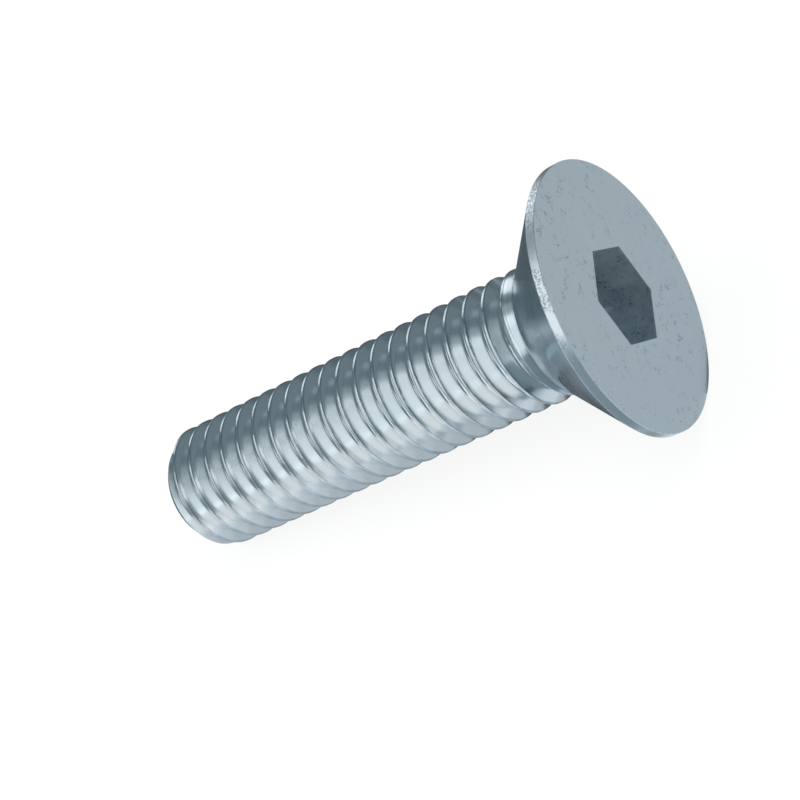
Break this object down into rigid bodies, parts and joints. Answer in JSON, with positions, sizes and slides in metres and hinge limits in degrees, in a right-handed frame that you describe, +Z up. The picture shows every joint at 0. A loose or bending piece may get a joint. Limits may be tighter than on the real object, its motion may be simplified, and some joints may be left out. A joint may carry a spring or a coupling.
{
  "type": "countersunk socket screw",
  "caption": "Metric screw with a flat countersunk head, a hexagon socket, a right-hand thread that runs to just under the head, and a chamfered tip.",
  "frame": {"origin": "on the table under the middle of the lying screw's box", "axes": "+Z up from the table, +X from the head towards the tip along the screw, +Y across it; the axis of the screw lies in the XZ plane and slopes down by 7.71 degrees towards the tip"},
  "size_m": [0.0124, 0.0058, 0.0059],
  "materials": {
    "zinc_plate": "bright zinc plate on steel with a pale blue passivate, satin on the face and cone, finely pitted, polished along the rolled thread"
  },
  "bodies": {
    "root": {"screw": "zinc_plate"}
  },
  "joints": []
}
